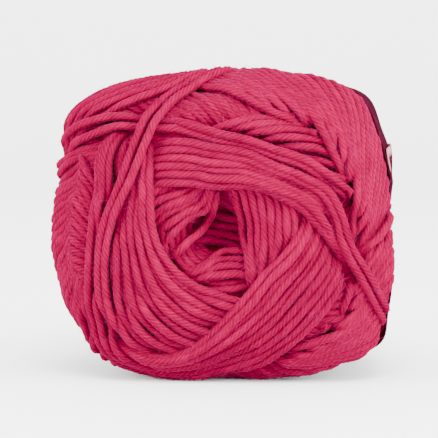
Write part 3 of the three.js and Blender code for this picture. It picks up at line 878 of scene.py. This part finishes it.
# Paper band: one strip round the girth, its free end lapped over its start and standing off a little.
# ramp is the turn over which the lap and its edge lift, wave the ripple of the paper's edges
paper = dict(freeEnd=26.0, lap=16.0, lift=0.32, edgeLift=0.4, ramp=6, cut=1.6, cutRow=0.97, wave=0.08,
             waves=7, sit=0.05, trim=0.1, lowest=0.32, steps=250, rows=14)
mesh = bmesh.new()
bmesh.ops.create_grid(mesh, x_segments=paper["steps"], y_segments=paper["rows"], size=0.5)
cutEdge = mesh.verts.layers.float.new("cutEdge")
for v in mesh.verts:
    along, across = v.co.x + 0.5, v.co.y * 2
    sweep = along * (360 + paper["lap"]) - paper["lap"]
    bearing = np.array(paper["freeEnd"] + sweep)
    over = np.clip((sweep - (360 - paper["lap"] - paper["ramp"])) / paper["ramp"], 0, 1)
    peel = max(0, (sweep - 360 + paper["ramp"]) / paper["ramp"]) ** 2
    lifted = paper["lift"] * over + paper["edgeLift"] * peel
    wave = paper["wave"] * (1 + math.sin(math.radians(bearing * paper["waves"]))) * across ** 2
    out = float(paperRadius(bearing, across)) + lifted + wave - paper["sit"]
    turn = math.radians(bearing)
    v[cutEdge] = sweep > 360 - (paper["cut"] if across > -paper["cutRow"] else 4 * paper["cut"])
    height3 = ball["centreHeight"] + out * math.sin(turn)
    along3 = float(bandMiddle(bearing)) + across * (band["halfWidth"] - paper["trim"])
    v.co = Vector((out * math.cos(turn), along3, max(height3, paper["lowest"]))) * mm
mesh.normal_update()
middleFace = max(mesh.faces, key=lambda face: face.calc_center_median().z)
if middleFace.normal.z < 0:
    bmesh.ops.reverse_faces(mesh, faces=mesh.faces)
paperBand = placeMesh("paperBand", mesh, paperMaterial())
solid = paperBand.modifiers.new("thickness", "SOLIDIFY")
solid.thickness = band["thickness"] * mm
solid.offset = -1
solid.use_even_offset = True
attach(paperBand, "root")

# Camera, a little to the right of the axis and above it
view = dict(azimuth=3.0, elevation=4.0, distance=480.0, sensor=36, lens=169.644, offset=(-1.93, 0.84))
a, e = math.radians(view["azimuth"]), math.radians(view["elevation"])
back = Vector((math.sin(a) * math.cos(e), -math.cos(a) * math.cos(e), math.sin(e)))
right = Vector((math.cos(a), math.sin(a), 0))
up = back.cross(right)
aim = Vector((0, 0, ball["centreHeight"]))
eye = aim + back * view["distance"]
target = aim + right * view["offset"][0] + up * view["offset"][1]
cameraData = bpy.data.cameras.new("camera")
cameraData.sensor_width = view["sensor"]
cameraData.lens = view["lens"]
cameraData.clip_start, cameraData.clip_end = 0.01, 20
camera = bpy.data.objects.new("camera", cameraData)
bpy.context.collection.objects.link(camera)
camera.location = eye * mm
camera.rotation_mode = "QUATERNION"
camera.rotation_quaternion = (target - eye).to_track_quat("-Z", "Y")
bpy.context.scene.camera = camera

# Floor that rises to a round wall, in metres
floorSize = dict(flat=0.9, curve=0.5, wall=1.6, segments=96, steps=12)
mesh = bmesh.new()
bmesh.ops.create_circle(mesh, cap_ends=True, segments=floorSize["segments"], radius=floorSize["flat"])
edge = [e for e in mesh.edges if e.is_boundary]
for k in range(floorSize["steps"]):
    made = bmesh.ops.extrude_edge_only(mesh, edges=edge)["geom"]
    edge = [g for g in made if isinstance(g, bmesh.types.BMEdge) and g.is_boundary]
    ring = [g for g in made if isinstance(g, bmesh.types.BMVert)]
    t0, t1 = (math.pi / 2 * (k + j) / floorSize["steps"] for j in (0, 1))
    grow = floorSize["curve"] * (math.sin(t1) - math.sin(t0))
    lift = floorSize["curve"] * (math.cos(t0) - math.cos(t1))
    for v in ring:
        flat = Vector((v.co.x, v.co.y, 0))
        v.co += flat.normalized() * grow + Vector((0, 0, lift))
made = bmesh.ops.extrude_edge_only(mesh, edges=edge)["geom"]
for v in (g for g in made if isinstance(g, bmesh.types.BMVert)):
    v.co.z = floorSize["wall"]
floor = placeMesh("floor", mesh, material("floorPaint", (0.95, 0.95, 0.955), 0.9))

# Light, in metres: a white surround and three area lamps that face the ball
light = dict(surround=3.4, aim=(0, 0, 0.034))
world = bpy.data.worlds.new("world")
bpy.context.scene.world = world
world.use_nodes = True
world.node_tree.nodes["Background"].inputs["Color"].default_value = (1, 1, 1, 1)
world.node_tree.nodes["Background"].inputs["Strength"].default_value = light["surround"]
lamps = dict(  # place, size and power
    key=((0.1, -0.6, 0.85), 0.4, 16.0), fillLeft=((-0.85, -0.45, 0.3), 0.6, 18.0),
    fillRight=((0.85, -0.45, 0.3), 0.6, 28.0))
for name, (place3, size, power) in lamps.items():
    lampData = bpy.data.lights.new(name, "AREA")
    lampData.size = size
    lampData.energy = power
    lamp = bpy.data.objects.new(name, lampData)
    lamp.location = place3
    lamp.rotation_euler = (Vector(light["aim"]) - Vector(place3)).to_track_quat("-Z", "Y").to_euler()
    bpy.context.collection.objects.link(lamp)
print("camera and lamps placed")

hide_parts("yarn_ball")
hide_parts("ball_band")
